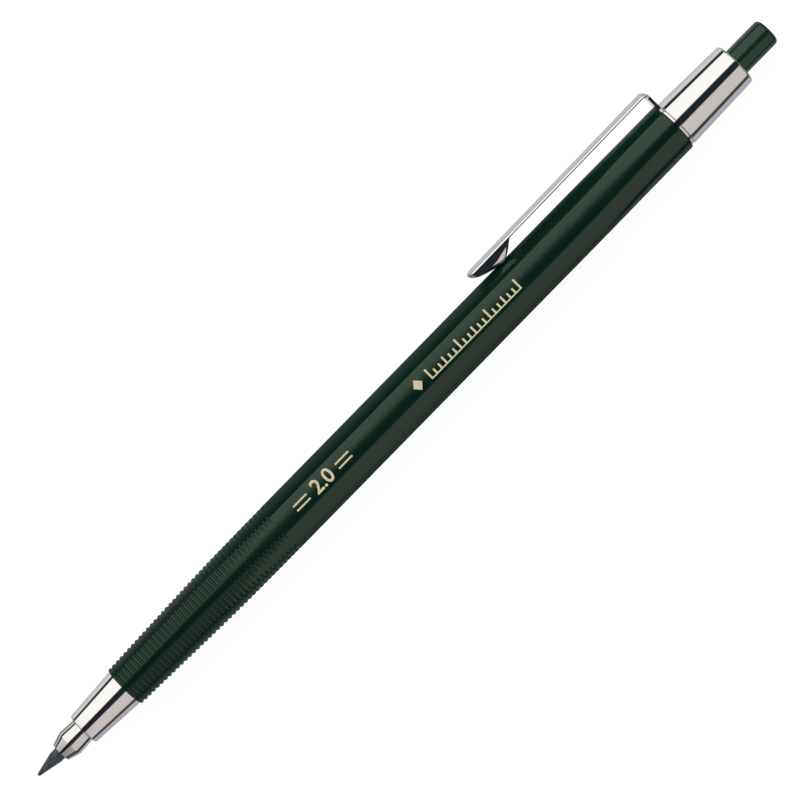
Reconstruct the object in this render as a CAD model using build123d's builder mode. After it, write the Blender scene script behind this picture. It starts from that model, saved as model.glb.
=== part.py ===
"""Clutch lead holder for 2 mm leads: octagonal plastic barrel with a turned, ribbed grip,
chromed nose cone, three-jaw clutch on a long lead tube, return spring, pocket clip held by a
chromed rear sleeve, and a push button.

Frame: millimetres. The pen axis is parallel to X at height AXIS_Z, +X towards the writing point,
so "front" is +X and "rear" is -X. Z = 0 is the table under the lowest barrel facet. The clip
leans over the -Y side, on the barrel edge that stands 22.5 degrees above the horizontal.
"""
import os
from math import atan2, cos, pi, radians, sin

from build123d import *

os.makedirs("parts", exist_ok=True)

# ---------------------------------------------------------------- dimensions
# Names ending in _X are places along the pen, names ending in _R are radii about its axis.
LENGTH = 150.0            # lead point to push-button end
ACROSS_FLATS = 8.0        # octagonal barrel
CORNER_R = 0.9            # rounding of the barrel edges
AXIS_Z = ACROSS_FLATS / 2
X_TIP = LENGTH / 2
X_END = -LENGTH / 2

GAP = 0.01                # hairline between faces that touch
FIT = 0.02                # radial clearance of a shank or tube in its bore
OVERRUN = 1.0             # how far cutting shapes reach past the barrel ends

# Lead
LEAD_R = 1.0
LEAD_LEN = 120.0
LEAD_CONE = 3.5
LEAD_TIP_R = 0.26
LEAD_REAR_CHAMFER = 0.08

# Barrel
# grip envelope: (distance behind the lead point, radius)
GRIP = [
    (17.85, 3.425), (20.9, 3.53), (25.9, 3.695), (30.8, 3.86),
    (35.7, 4.005), (40.6, 4.13), (45.6, 4.215), (50.5, 4.26),
]
# turned rear end: (distance ahead of the button end, radius)
REAR_TURN = [(19.4, 4.05), (27.0, 4.085), (32.0, 4.15), (37.5, 4.30)]
BARREL_FRONT_X = X_TIP - GRIP[0][0]
BARREL_REAR_X = X_END + REAR_TURN[0][0]
BARREL_BORE_R = 2.32
BARREL_REAR_CHAMFER = 0.35
RIB_PITCH = 0.8
RIB_COUNT = 40
RIB_GROOVE_W = 0.42
RIB_DEPTH = 0.2
RIB_CROWN = 0.06
GRIP_END_STEP = 0.06      # length of the step from the last groove up to the full radius

# Nose cone and its clutch seat
NOSE_FRONT_X = X_TIP - 9.28
NOSE_FRONT_R = 2.61
NOSE_REAR_R = 3.155
NOSE_MOUTH_R = 2.01
NOSE_BORE_R = 2.15
NOSE_RIM_FILLET = 0.3
NOSE_SHANK_R = 2.55
NOSE_SHANK_X = 49.0       # rear end of the shank
NOSE_UNDERCUT = 0.25      # depth of the relief behind the shoulder
SEAT_BACK_X = 64.4
SEAT_SLOPE = 0.0704       # clutch seat taper, radius per length

# Bush the nose cone screws into
FRONT_INSERT_R = 2.86
FRONT_INSERT_X = 56.4     # front end
FRONT_INSERT_REAR_X = NOSE_SHANK_X + 0.15
FRONT_INSERT_CHAMFER = 0.12

# Clutch body
CHUCK_FRONT_X = 57.0
CHUCK_REAR_X = 50.6
CHUCK_R = 1.8

# Clutch jaws
JAW_FRONT_X = X_TIP - 4.7
JAW_RIDGE_X = X_TIP - 6.55
JAW_LAND_X = X_TIP - 7.05
JAW_SEAT_BACK_X = 64.6
JAW_NECK_X = 64.2         # front end of the neck
JAW_ROOT_X = CHUCK_FRONT_X + 0.06
JAW_FRONT_R = 1.56
JAW_RIDGE_R = 2.145
JAW_LAND_DROP = 0.012     # fall in radius from ridge to rear edge of the land
JAW_SEAT_R = NOSE_MOUTH_R - 0.03
JAW_NECK_R = 1.65
JAW_BORE_R = 1.02
JAW_BORE_CHAMFER = 0.12
JAW_RELIEF_R = 1.2
JAW_SLIT = 0.22
JAW_WEDGE_REACH = 6.0     # side of the wedge that keeps one third
JAW_WEDGE_LEN = 25.0      # length of that wedge behind the lead point

# Lead tube and its guide bush
TUBE_R = 1.5
TUBE_BORE_R = 1.2
TUBE_FRONT_X = 54.0
TUBE_REAR_X = -67.0
TUBE_GROOVE_DEPTH = 0.12
GUIDE_REAR_X = -44.0
GUIDE_LEN = 3.0
GUIDE_CHAMFER = 0.15

# Return spring, its seats and the retaining ring
WASHER_T = 0.4
WASHER_R = 2.5
SPRING_FRONT_X = NOSE_SHANK_X - WASHER_T
SPRING_LEN = 18.6
SPRING_REAR_X = SPRING_FRONT_X - SPRING_LEN
SPRING_MEAN_R = 1.93
SPRING_WIRE_R = 0.17
SPRING_TURNS = 12
SPRING_END_GAP = 0.02
COLLAR_R = 2.18
COLLAR_T = 0.57
COLLAR_CHAMFER = 0.12
RETAINER_X = SPRING_REAR_X - 0.9
RETAINER_R = 1.95
RETAINER_BORE_R = TUBE_R - 0.10
RETAINER_T = 0.36
RETAINER_MOUTH = (3.0, 0.9)   # reach and half width of the V that opens the ring

# Push button and its core
BUTTON_R = 2.18
BUTTON_FRONT_X = -61.0
BUTTON_EDGE = 0.6
BUTTON_STEP_X = X_END + 4.6   # rear end of the core's bore
BUTTON_CORE_R = 1.75

# Rear sleeve and rear insert
SLEEVE_REAR_X = X_END + 6.63
SLEEVE_FRONT_X = X_END + 18.92
SLEEVE_REAR_R = 3.515
SLEEVE_FRONT_R = 3.83
SLEEVE_BORE_R = 2.225
SLEEVE_BORE_X = BUTTON_FRONT_X + 4.05   # front end of the wide bore
SLEEVE_SHANK_R = 2.6
SLEEVE_SHANK_X = -49.6        # front end of the shank
SLEEVE_REAR_FILLET = 0.45
SLEEVE_MOUTH_FILLET = 0.2
SLEEVE_FRONT_FILLET = 0.15
REAR_INSERT_R = 3.05
REAR_INSERT_BORE_R = SLEEVE_SHANK_R + FIT
REAR_POCKET_DEPTH = 7.7

# Pocket clip
RING_REAR_X = SLEEVE_FRONT_X + GAP
RING_T = 0.45
RING_FRONT_X = RING_REAR_X + RING_T
RING_R = 3.72
RING_BORE_R = 2.66
RISER_ROOT_R = 2.8
CLIP_ANGLE = 67.5             # from +Z towards -Y, about the pen axis
CLIP_W = 2.6
CLIP_TIP_W = 2.5
CLIP_T = 0.45
CLIP_TIP_X = X_END + 55.6
CLIP_HINGE_R = 5.1            # where the ring's riser meets the arm
CLIP_HINGE_GAP = 0.03         # on each side of CLIP_HINGE_R
CLIP_OUT_R = 7.0
CLIP_OUT_TIP_R = 6.78
CLIP_BEND_R = 0.95            # outer radius of the bend
CLIP_INNER_BEND = 0.12        # inset of the inner bend's middle point
CLIP_CUT_R = 8.0              # height of the plan outline above the pen axis
CLIP_CUT_DEPTH = 6.0
PAD_W = 2.0
PAD_BOTTOM_R = 4.285
PAD_FRONT = 0.6               # distances of the keel ends behind the clip tip
PAD_REAR = 8.1
PAD_OVERLAP = 0.25            # how far the keel reaches up into the arm

# ---------------------------------------------------------------- planes and axis
CLIP_LEAN = radians(CLIP_ANGLE)
PEN_AXIS = Axis((0, 0, AXIS_Z), (1, 0, 0))
# both planes have local coordinates (x, radius)
PROFILE = Plane(origin=(0, 0, AXIS_Z), x_dir=(1, 0, 0), z_dir=(0, -1, 0))
CLIP_SIDE = Plane(
    origin=(0, 0, AXIS_Z), x_dir=(1, 0, 0), z_dir=(0, -cos(CLIP_LEAN), -sin(CLIP_LEAN))
)
# looks down on the clip from outside
CLIP_PLAN = Plane(
    origin=(0, -CLIP_CUT_R * sin(CLIP_LEAN), AXIS_Z + CLIP_CUT_R * cos(CLIP_LEAN)),
    x_dir=(1, 0, 0),
    z_dir=(0, -sin(CLIP_LEAN), cos(CLIP_LEAN)),
)


def cross_plane(x, angle=0.0):
    """Plane square to the pen axis at x; local x points radially, angle from +Z towards -Y."""
    turn = radians(angle)
    return Plane(origin=(x, 0, AXIS_Z), x_dir=(0, -sin(turn), cos(turn)), z_dir=(1, 0, 0))


# ---------------------------------------------------------------- shared builders
REAR, FRONT, ANYWHERE = 0, -1, None
INNER, OUTER = 0, -1


def rim(piece, end, side):
    """Smallest or largest circular edge at one end of a piece, or on the whole piece."""
    circles = piece.edges().filter_by(GeomType.CIRCLE)
    if end is not ANYWHERE:
        circles = circles.group_by(Axis.X)[end]
    return circles.sort_by(SortBy.RADIUS)[side]


def turned(points, fillets=()):
    """Revolve a closed (x, radius) outline, then round rims given as (end, side, radius)."""
    with BuildPart() as piece:
        with BuildSketch(PROFILE):
            with BuildLine():
                Polyline(*points, close=True)
            make_face()
        revolve(axis=PEN_AXIS)
        for end, side, radius in fillets:
            fillet(rim(piece, end, side), radius)
    return piece.part


def bush(rear_x, length, outer_r, bore_r, rear_chamfer=0.0, bore_chamfer=0.0):
    """Plain ring, with optional chamfers on the rear outer rim and the front bore rim."""
    with BuildPart() as piece:
        with BuildSketch(cross_plane(rear_x)):
            Circle(outer_r)
            Circle(bore_r, mode=Mode.SUBTRACT)
        extrude(amount=length)
        if rear_chamfer:
            chamfer(rim(piece, REAR, OUTER), rear_chamfer)
        if bore_chamfer:
            chamfer(rim(piece, FRONT, INNER), bore_chamfer)
    return piece.part


# ---------------------------------------------------------------- barrel
def grip_radius(distance):
    """Grip envelope radius at a distance behind the lead point, by linear pieces."""
    for (start, start_r), (end, end_r) in zip(GRIP, GRIP[1:]):
        if distance <= end:
            return start_r + (end_r - start_r) * (distance - start) / (end - start)
    return GRIP[-1][1]


def grip_point(distance, sink=0.0):
    """Profile point on the grip, sunk below the envelope."""
    return (X_TIP - distance, grip_radius(distance) - sink)


def make_barrel():
    grip_start = GRIP[0][0]
    rear_turn = [(X_END + distance, radius) for distance, radius in REAR_TURN]
    with BuildPart() as barrel:
        with BuildSketch(PROFILE):
            with BuildLine():
                rib_start = grip_point(grip_start, RIB_CROWN)
                Line((BARREL_FRONT_X, BARREL_BORE_R), rib_start)
                for i in range(RIB_COUNT):
                    crest = grip_start + RIB_PITCH * (i + 0.5) - RIB_GROOVE_W / 2
                    groove = grip_start + RIB_PITCH * (i + 1) - RIB_GROOVE_W
                    rib_end = grip_point(groove, RIB_CROWN)
                    ThreePointArc(rib_start, grip_point(crest), rib_end)
                    groove_floor = grip_point(groove + RIB_GROOVE_W / 2, RIB_DEPTH)
                    rib_start = grip_point(groove + RIB_GROOVE_W, RIB_CROWN)
                    ThreePointArc(rib_end, groove_floor, rib_start)
                grip_end = (rib_start[0] - GRIP_END_STEP, GRIP[-1][1])
                Line(rib_start, grip_end)
                Line(grip_end, rear_turn[-1])
                Spline(*reversed(rear_turn))
                Line(rear_turn[0], (BARREL_REAR_X, BARREL_BORE_R))
                Line((BARREL_REAR_X, BARREL_BORE_R), (BARREL_FRONT_X, BARREL_BORE_R))
            make_face()
        revolve(axis=PEN_AXIS)

        # the octagon trims the turned shape
        with BuildSketch(cross_plane(BARREL_REAR_X - OVERRUN)):
            RegularPolygon(
                radius=ACROSS_FLATS / 2, side_count=8, major_radius=False, rotation=22.5
            )
            fillet(vertices(), CORNER_R)
        extrude(amount=BARREL_FRONT_X - BARREL_REAR_X + 2 * OVERRUN, mode=Mode.INTERSECT)

        # room for the nose shank, pocket for the front bush, pocket for the rear insert
        front_cut = BARREL_FRONT_X - NOSE_SHANK_X + 2 * OVERRUN
        for start_x, radius, length in (
            (NOSE_SHANK_X - 0.6, NOSE_SHANK_R + FIT, front_cut),
            (NOSE_SHANK_X + 0.1, FRONT_INSERT_R + GAP, front_cut),
            (BARREL_REAR_X - OVERRUN, REAR_INSERT_R + GAP, REAR_POCKET_DEPTH + OVERRUN),
        ):
            with BuildSketch(cross_plane(start_x)):
                Circle(radius)
            extrude(amount=length, mode=Mode.SUBTRACT)
        chamfer(rim(barrel, REAR, OUTER), BARREL_REAR_CHAMFER)
    return barrel.part


# ---------------------------------------------------------------- nose cone and front bush
def seat_radius(x, mouth_r):
    """Radius at x on the clutch taper that has mouth_r at the front of the nose cone."""
    return mouth_r - SEAT_SLOPE * (NOSE_FRONT_X - x)


def make_nose_cone():
    shoulder_x = BARREL_FRONT_X + GAP
    return turned(
        [
            (NOSE_FRONT_X, NOSE_MOUTH_R),
            (NOSE_FRONT_X, NOSE_FRONT_R),
            (shoulder_x, NOSE_REAR_R),
            (shoulder_x, NOSE_SHANK_R - NOSE_UNDERCUT),
            (BARREL_FRONT_X - 0.6, NOSE_SHANK_R - NOSE_UNDERCUT),
            (BARREL_FRONT_X - 0.8, NOSE_SHANK_R),
            (NOSE_SHANK_X + 0.3, NOSE_SHANK_R),
            (NOSE_SHANK_X, NOSE_SHANK_R - 0.3),
            (NOSE_SHANK_X, NOSE_BORE_R),
            (SEAT_BACK_X - 0.5, NOSE_BORE_R),
            (SEAT_BACK_X, seat_radius(SEAT_BACK_X, NOSE_MOUTH_R)),
        ],
        fillets=[(FRONT, OUTER, NOSE_RIM_FILLET)],
    )


def make_front_insert():
    return bush(
        FRONT_INSERT_REAR_X, FRONT_INSERT_X - FRONT_INSERT_REAR_X,
        FRONT_INSERT_R, NOSE_SHANK_R + FIT, rear_chamfer=FRONT_INSERT_CHAMFER,
    )


# ---------------------------------------------------------------- clutch
JAW_PROFILE = [
    (JAW_FRONT_X, JAW_BORE_R + JAW_BORE_CHAMFER),
    (JAW_FRONT_X, JAW_FRONT_R),
    (JAW_RIDGE_X, JAW_RIDGE_R),
    (JAW_LAND_X, JAW_RIDGE_R - JAW_LAND_DROP),
    (NOSE_FRONT_X, JAW_SEAT_R),
    (JAW_SEAT_BACK_X, seat_radius(JAW_SEAT_BACK_X, JAW_SEAT_R)),
    (JAW_NECK_X, JAW_NECK_R),
    (JAW_ROOT_X, JAW_NECK_R),
    (JAW_ROOT_X, JAW_RELIEF_R),
    (64.9, JAW_RELIEF_R),
    (65.1, JAW_BORE_R),
    (JAW_FRONT_X - JAW_BORE_CHAMFER, JAW_BORE_R),
]


def make_jaw(angle):
    """One of three fingers: a third of the turned sleeve, less half a slit on both sides."""
    apex = JAW_SLIT / 2 / sin(radians(60))
    side_x = apex + JAW_WEDGE_REACH * cos(radians(60))
    side_y = JAW_WEDGE_REACH * sin(radians(60))
    with BuildPart() as jaw:
        with BuildSketch(PROFILE):
            with BuildLine():
                Polyline(*JAW_PROFILE, close=True)
            make_face()
        revolve(axis=PEN_AXIS)
        with BuildSketch(cross_plane(X_TIP - JAW_WEDGE_LEN, angle)):
            with BuildLine():
                Polyline(
                    (apex, 0), (side_x, side_y), (apex + JAW_WEDGE_REACH, 0), (side_x, -side_y),
                    close=True,
                )
            make_face()
        extrude(amount=JAW_WEDGE_LEN, mode=Mode.INTERSECT)
    return jaw.part


def make_clutch_body():
    """Joins the fingers to the lead tube."""
    return turned([
        (CHUCK_FRONT_X, JAW_RELIEF_R),
        (CHUCK_FRONT_X, JAW_NECK_R),
        (CHUCK_FRONT_X - 0.6, CHUCK_R),
        (CHUCK_REAR_X + 0.3, CHUCK_R),
        (CHUCK_REAR_X, CHUCK_R - 0.15),
        (CHUCK_REAR_X, TUBE_R + GAP),
        (TUBE_FRONT_X + GAP, TUBE_R + GAP),
        (TUBE_FRONT_X + GAP, JAW_RELIEF_R),
    ])


# ---------------------------------------------------------------- lead tube, guide and lead
def make_lead_tube():
    """Long tube with the retaining-ring groove."""
    groove_front_x = RETAINER_X + 0.3
    groove_rear_x = RETAINER_X - 0.1
    groove_r = TUBE_R - TUBE_GROOVE_DEPTH
    return turned([
        (TUBE_FRONT_X, TUBE_BORE_R),
        (TUBE_FRONT_X, TUBE_R),
        (groove_front_x, TUBE_R),
        (groove_front_x, groove_r),
        (groove_rear_x, groove_r),
        (groove_rear_x, TUBE_R),
        (TUBE_REAR_X, TUBE_R),
        (TUBE_REAR_X, TUBE_BORE_R),
    ])


def make_tube_guide():
    """Bush in the barrel bore that keeps the long tube central."""
    return bush(
        GUIDE_REAR_X, GUIDE_LEN, BARREL_BORE_R - GAP, TUBE_R + 0.05,
        rear_chamfer=GUIDE_CHAMFER, bore_chamfer=GUIDE_CHAMFER,
    )


def make_lead():
    """Sharpened lead; the cone runs tangent into a small ball at the point."""
    rear_x = X_TIP - LEAD_LEN
    ball_x = X_TIP - LEAD_TIP_R
    lean = atan2(LEAD_R - LEAD_TIP_R, LEAD_CONE - LEAD_TIP_R)
    cone_end = (ball_x + LEAD_TIP_R * sin(lean), LEAD_TIP_R * cos(lean))
    half_turn = (pi / 2 - lean) / 2
    ball_middle = (ball_x + LEAD_TIP_R * cos(half_turn), LEAD_TIP_R * sin(half_turn))
    with BuildPart() as lead:
        with BuildSketch(PROFILE):
            with BuildLine():
                Polyline(
                    (rear_x, 0),
                    (rear_x, LEAD_R - LEAD_REAR_CHAMFER),
                    (rear_x + LEAD_REAR_CHAMFER, LEAD_R),
                    (X_TIP - LEAD_CONE, LEAD_R),
                    cone_end,
                )
                ThreePointArc(cone_end, ball_middle, (X_TIP, 0))
                Line((X_TIP, 0), (rear_x, 0))
            make_face()
        revolve(axis=PEN_AXIS)
    return lead.part


# ---------------------------------------------------------------- spring and its seats
def make_front_washer():
    return bush(SPRING_FRONT_X + GAP, WASHER_T - 2 * GAP, WASHER_R, TUBE_R + 0.06)


def make_return_spring():
    run = SPRING_LEN - 2 * (SPRING_WIRE_R + SPRING_END_GAP)
    with BuildPart() as spring:
        with BuildLine() as coil:
            Helix(
                pitch=run / SPRING_TURNS,
                height=run,
                radius=SPRING_MEAN_R,
                center=(SPRING_REAR_X + SPRING_WIRE_R + SPRING_END_GAP, 0, AXIS_Z),
                direction=(1, 0, 0),
            )
        with BuildSketch(Plane(origin=coil.line @ 0, z_dir=coil.line % 0)):
            Circle(SPRING_WIRE_R)
        sweep(path=coil.line, is_frenet=True)
    return spring.part


def make_spring_collar():
    return bush(
        SPRING_REAR_X - COLLAR_T - GAP, COLLAR_T, COLLAR_R, TUBE_R + FIT,
        rear_chamfer=COLLAR_CHAMFER,
    )


def make_retaining_ring():
    """Open ring in the lead tube's groove."""
    reach, half_width = RETAINER_MOUTH
    with BuildPart() as ring:
        with BuildSketch(cross_plane(RETAINER_X - 0.08)):
            Circle(RETAINER_R)
            Circle(RETAINER_BORE_R, mode=Mode.SUBTRACT)
            with BuildLine():
                Polyline((0, 0), (reach, half_width), (reach, -half_width), close=True)
            make_face(mode=Mode.SUBTRACT)
        extrude(amount=RETAINER_T)
    return ring.part


# ---------------------------------------------------------------- rear insert, sleeve, button
# (distance ahead of the barrel's rear end, radius), with a shallow groove around the outside
REAR_INSERT_PROFILE = [
    (0.05, REAR_INSERT_BORE_R), (0.05, REAR_INSERT_R),
    (2.3, REAR_INSERT_R), (2.6, 2.85), (4.6, 2.85), (4.9, REAR_INSERT_R),
    (7.65, REAR_INSERT_R), (7.65, 2.35), (6.9, 2.35), (6.6, REAR_INSERT_BORE_R),
]


def make_rear_insert():
    return turned([(BARREL_REAR_X + distance, r) for distance, r in REAR_INSERT_PROFILE])


def make_rear_sleeve():
    return turned(
        [
            (SLEEVE_REAR_X, SLEEVE_BORE_R),
            (SLEEVE_REAR_X, SLEEVE_REAR_R),
            (SLEEVE_FRONT_X, SLEEVE_FRONT_R),
            (SLEEVE_FRONT_X, SLEEVE_SHANK_R),
            (SLEEVE_SHANK_X - 0.3, SLEEVE_SHANK_R),
            (SLEEVE_SHANK_X, SLEEVE_SHANK_R - 0.3),
            (SLEEVE_SHANK_X, TUBE_R + 0.08),
            (SLEEVE_BORE_X, TUBE_R + 0.08),
            (SLEEVE_BORE_X, SLEEVE_BORE_R),
        ],
        fillets=[
            (REAR, OUTER, SLEEVE_REAR_FILLET),
            (REAR, INNER, SLEEVE_MOUTH_FILLET),
            (ANYWHERE, OUTER, SLEEVE_FRONT_FILLET),
        ],
    )


def make_push_button():
    return turned(
        [
            (X_END, 0),
            (X_END, BUTTON_R),
            (BUTTON_FRONT_X, BUTTON_R),
            (BUTTON_FRONT_X, BUTTON_CORE_R + GAP),
            (BUTTON_STEP_X, BUTTON_CORE_R + GAP),
            (BUTTON_STEP_X, TUBE_BORE_R),
            (X_END + 1.6, TUBE_BORE_R),
            (X_END + 1.2, 0),
        ],
        fillets=[(REAR, OUTER, BUTTON_EDGE)],
    )


def make_button_core():
    """Sleeve between the push button and the rear of the lead tube."""
    rear_x = BUTTON_STEP_X + 0.05
    front_x = BUTTON_FRONT_X + 0.5
    return turned([
        (rear_x, TUBE_BORE_R),
        (rear_x, BUTTON_CORE_R),
        (BUTTON_FRONT_X + 0.2, BUTTON_CORE_R),
        (front_x, 1.62),
        (front_x, TUBE_R + GAP),
        (TUBE_REAR_X - FIT, TUBE_R + GAP),
        (TUBE_REAR_X - FIT, TUBE_BORE_R),
    ])


# ---------------------------------------------------------------- pocket clip
def make_clip_ring():
    """Flat ring with a riser that reaches out to the arm."""
    riser_top = CLIP_HINGE_R - CLIP_HINGE_GAP
    with BuildPart() as ring:
        with BuildSketch(cross_plane(RING_REAR_X, CLIP_ANGLE)):
            Circle(RING_R)
            with Locations(((riser_top + RISER_ROOT_R) / 2, 0)):
                Rectangle(riser_top - RISER_ROOT_R, CLIP_W)
            Circle(RING_BORE_R, mode=Mode.SUBTRACT)
        extrude(amount=RING_T)
    return ring.part


def make_clip_arm():
    """Springing arm: bent strip trimmed to its outline, with a keel under the tip."""
    tip = CLIP_TIP_X
    arm_root = CLIP_HINGE_R + CLIP_HINGE_GAP
    bend_start_r = CLIP_OUT_R - CLIP_BEND_R
    bend_end_x = RING_REAR_X + CLIP_BEND_R
    bend_inset = CLIP_BEND_R * (1 - cos(radians(45)))
    inner_r = CLIP_OUT_R - CLIP_T
    under = CLIP_OUT_TIP_R - CLIP_T
    with BuildPart() as arm:
        with BuildSketch(CLIP_SIDE):
            with BuildLine():
                Polyline(
                    (RING_FRONT_X, arm_root), (RING_REAR_X, arm_root), (RING_REAR_X, bend_start_r)
                )
                ThreePointArc(
                    (RING_REAR_X, bend_start_r),
                    (RING_REAR_X + bend_inset, CLIP_OUT_R - bend_inset),
                    (bend_end_x, CLIP_OUT_R),
                )
                Polyline(
                    (bend_end_x, CLIP_OUT_R), (tip, CLIP_OUT_TIP_R),
                    (tip, under), (bend_end_x, inner_r),
                )
                ThreePointArc(
                    (bend_end_x, inner_r),
                    (RING_FRONT_X + CLIP_INNER_BEND, inner_r - CLIP_INNER_BEND),
                    (RING_FRONT_X, bend_start_r),
                )
                Line((RING_FRONT_X, bend_start_r), (RING_FRONT_X, arm_root))
            make_face()
        extrude(amount=CLIP_W / 2, both=True)

        # outline of the arm seen from outside: slow taper and a round tip
        root_x = RING_REAR_X - 1
        root_y = CLIP_W / 2
        tip_r = CLIP_TIP_W / 2
        with BuildSketch(CLIP_PLAN):
            with BuildLine():
                Polyline(
                    (tip - tip_r, tip_r), (root_x, root_y), (root_x, -root_y), (tip - tip_r, -tip_r)
                )
                ThreePointArc((tip - tip_r, -tip_r), (tip, 0), (tip - tip_r, tip_r))
            make_face()
        extrude(amount=-CLIP_CUT_DEPTH, mode=Mode.INTERSECT)

        # pressed keel under the tip, which grips the cloth against the barrel
        keel_top = under + PAD_OVERLAP
        keel_rear = (tip - PAD_REAR, under - 0.12)
        curve_join = (tip - 6.1, PAD_BOTTOM_R + 0.25)
        curve_end = (tip - 4.1, PAD_BOTTOM_R + 0.16)
        with BuildSketch(CLIP_SIDE):
            with BuildLine():
                Polyline((tip - PAD_FRONT, keel_top), (tip - PAD_REAR, keel_top), keel_rear)
                ThreePointArc(keel_rear, (tip - 7.0, PAD_BOTTOM_R + 0.95), curve_join)
                ThreePointArc(curve_join, (tip - 5.1, PAD_BOTTOM_R), curve_end)
                Polyline(curve_end, (tip - PAD_FRONT, under - 0.5), (tip - PAD_FRONT, keel_top))
            make_face()
        extrude(amount=PAD_W / 2, both=True)
    return arm.part


# ---------------------------------------------------------------- export
PIECES = {
    "barrel": make_barrel(),
    "nose_cone": make_nose_cone(),
    "front_insert": make_front_insert(),
    "jaw_top": make_jaw(0.0),
    "jaw_clip_side": make_jaw(120.0),
    "jaw_far_side": make_jaw(240.0),
    "clutch_body": make_clutch_body(),
    "lead_tube": make_lead_tube(),
    "tube_guide": make_tube_guide(),
    "lead": make_lead(),
    "front_washer": make_front_washer(),
    "return_spring": make_return_spring(),
    "spring_collar": make_spring_collar(),
    "retaining_ring": make_retaining_ring(),
    "rear_insert": make_rear_insert(),
    "rear_sleeve": make_rear_sleeve(),
    "push_button": make_push_button(),
    "button_core": make_button_core(),
    "clip_ring": make_clip_ring(),
    "clip_arm": make_clip_arm(),
}
for name, part in PIECES.items():
    part.label = name
    export_step(part, f"parts/{name}.step")
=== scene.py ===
"""A clutch pencil with an octagonal barrel, ribbed grip, three jaws, push button and pocket clip.

The pencil lies along X: the lead point is at +X and the push button at -X. One flat of the
barrel faces up (+Z) and carries gold marks; the clip leans to the -Y side. Sizes are in
millimetres, and meshes are built in metres.
"""

import math

import bmesh
import bpy
from mathutils import Matrix, Vector


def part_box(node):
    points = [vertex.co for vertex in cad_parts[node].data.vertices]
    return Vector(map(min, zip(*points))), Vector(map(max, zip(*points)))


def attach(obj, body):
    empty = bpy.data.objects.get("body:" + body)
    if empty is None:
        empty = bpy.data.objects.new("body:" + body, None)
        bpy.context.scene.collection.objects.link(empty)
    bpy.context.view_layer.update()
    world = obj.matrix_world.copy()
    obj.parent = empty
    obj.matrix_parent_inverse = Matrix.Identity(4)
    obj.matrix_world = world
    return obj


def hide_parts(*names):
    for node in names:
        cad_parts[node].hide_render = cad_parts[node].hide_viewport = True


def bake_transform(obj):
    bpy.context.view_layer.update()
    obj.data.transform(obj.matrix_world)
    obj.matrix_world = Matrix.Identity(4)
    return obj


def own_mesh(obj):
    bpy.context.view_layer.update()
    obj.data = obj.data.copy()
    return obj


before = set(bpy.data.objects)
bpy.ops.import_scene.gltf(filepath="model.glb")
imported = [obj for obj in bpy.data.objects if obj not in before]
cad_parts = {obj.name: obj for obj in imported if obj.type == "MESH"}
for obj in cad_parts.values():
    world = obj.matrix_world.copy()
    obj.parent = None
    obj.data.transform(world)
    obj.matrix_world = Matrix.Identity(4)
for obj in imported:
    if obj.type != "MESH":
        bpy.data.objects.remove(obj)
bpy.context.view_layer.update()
scene = bpy.context.scene

MM = 0.001


def span(node):
    """Lowest and highest x of a CAD node."""
    lo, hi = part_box(node)
    return lo.x / MM, hi.x / MM


lead_lo, lead_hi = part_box("lead")
AXIS_Z = (lead_lo.z + lead_hi.z) / 2 / MM
LEAD_REAR, X_TIP = span("lead")
X_END = span("push_button")[0]
LENGTH = X_TIP - X_END
BARREL_REAR, BARREL_FRONT = span("barrel")
NOSE_REAR, NOSE_FRONT = span("nose_cone")
SLEEVE_REAR, SLEEVE_FRONT = span("rear_sleeve")
RING_REAR, RING_FRONT = span("clip_ring")
JAW_REAR, JAW_FRONT = span("jaw_top")
CLIP_TIP = span("clip_arm")[1]
SPRING_REAR, SPRING_FRONT = span("return_spring")


# ------------------------------------------------------------------ mesh helpers
def point(x, r, deg):
    """Point in metres at x, radius r from the axis and deg from +Z towards -Y."""
    a = math.radians(deg)
    return Vector((x * MM, -r * math.sin(a) * MM, (AXIS_Z + r * math.cos(a)) * MM))


def smooth(mesh, sharp):
    """Smooth shading, with edges over the angle sharp (degrees) kept hard."""
    mesh.polygons.foreach_set("use_smooth", [True] * len(mesh.polygons))
    mesh.set_sharp_from_angle(angle=math.radians(sharp))


def add_object(name, mesh):
    ob = bpy.data.objects.new(name, mesh)
    scene.collection.objects.link(ob)
    return ob


def make(name, verts, faces, mat, sharp=30.0):
    mesh = bpy.data.meshes.new(name)
    mesh.from_pydata([tuple(v) for v in verts], [], faces)
    mesh.update()
    bm = bmesh.new()
    bm.from_mesh(mesh)
    bmesh.ops.remove_doubles(bm, verts=bm.verts, dist=2e-8)
    bmesh.ops.recalc_face_normals(bm, faces=bm.faces)
    bm.to_mesh(mesh)
    bm.free()
    smooth(mesh, sharp)
    mesh.materials.append(mat)
    return add_object(name, mesh)


def skin(rings, closed=False, around=True, caps=False):
    """Vertices and faces that join rings of points; a ring of one point is a pole.

    closed joins the last ring to the first, around joins each ring's last point to its
    first, and caps fills the first and last rings.
    """
    verts, faces, rows = [], [], []
    for ring in rings:
        rows.append(list(range(len(verts), len(verts) + len(ring))))
        verts += ring
    for a, b in list(zip(rows, rows[1:])) + ([(rows[-1], rows[0])] if closed else []):
        count = max(len(a), len(b))
        for k in range(count if around else count - 1):
            j = (k + 1) % count
            if len(a) == 1:
                faces.append((a[0], b[j], b[k]))
            elif len(b) == 1:
                faces.append((a[k], a[j], b[0]))
            else:
                faces.append((a[k], a[j], b[j], b[k]))
    if caps:
        faces += [rows[0][::-1], rows[-1]]
    return verts, faces


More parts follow.
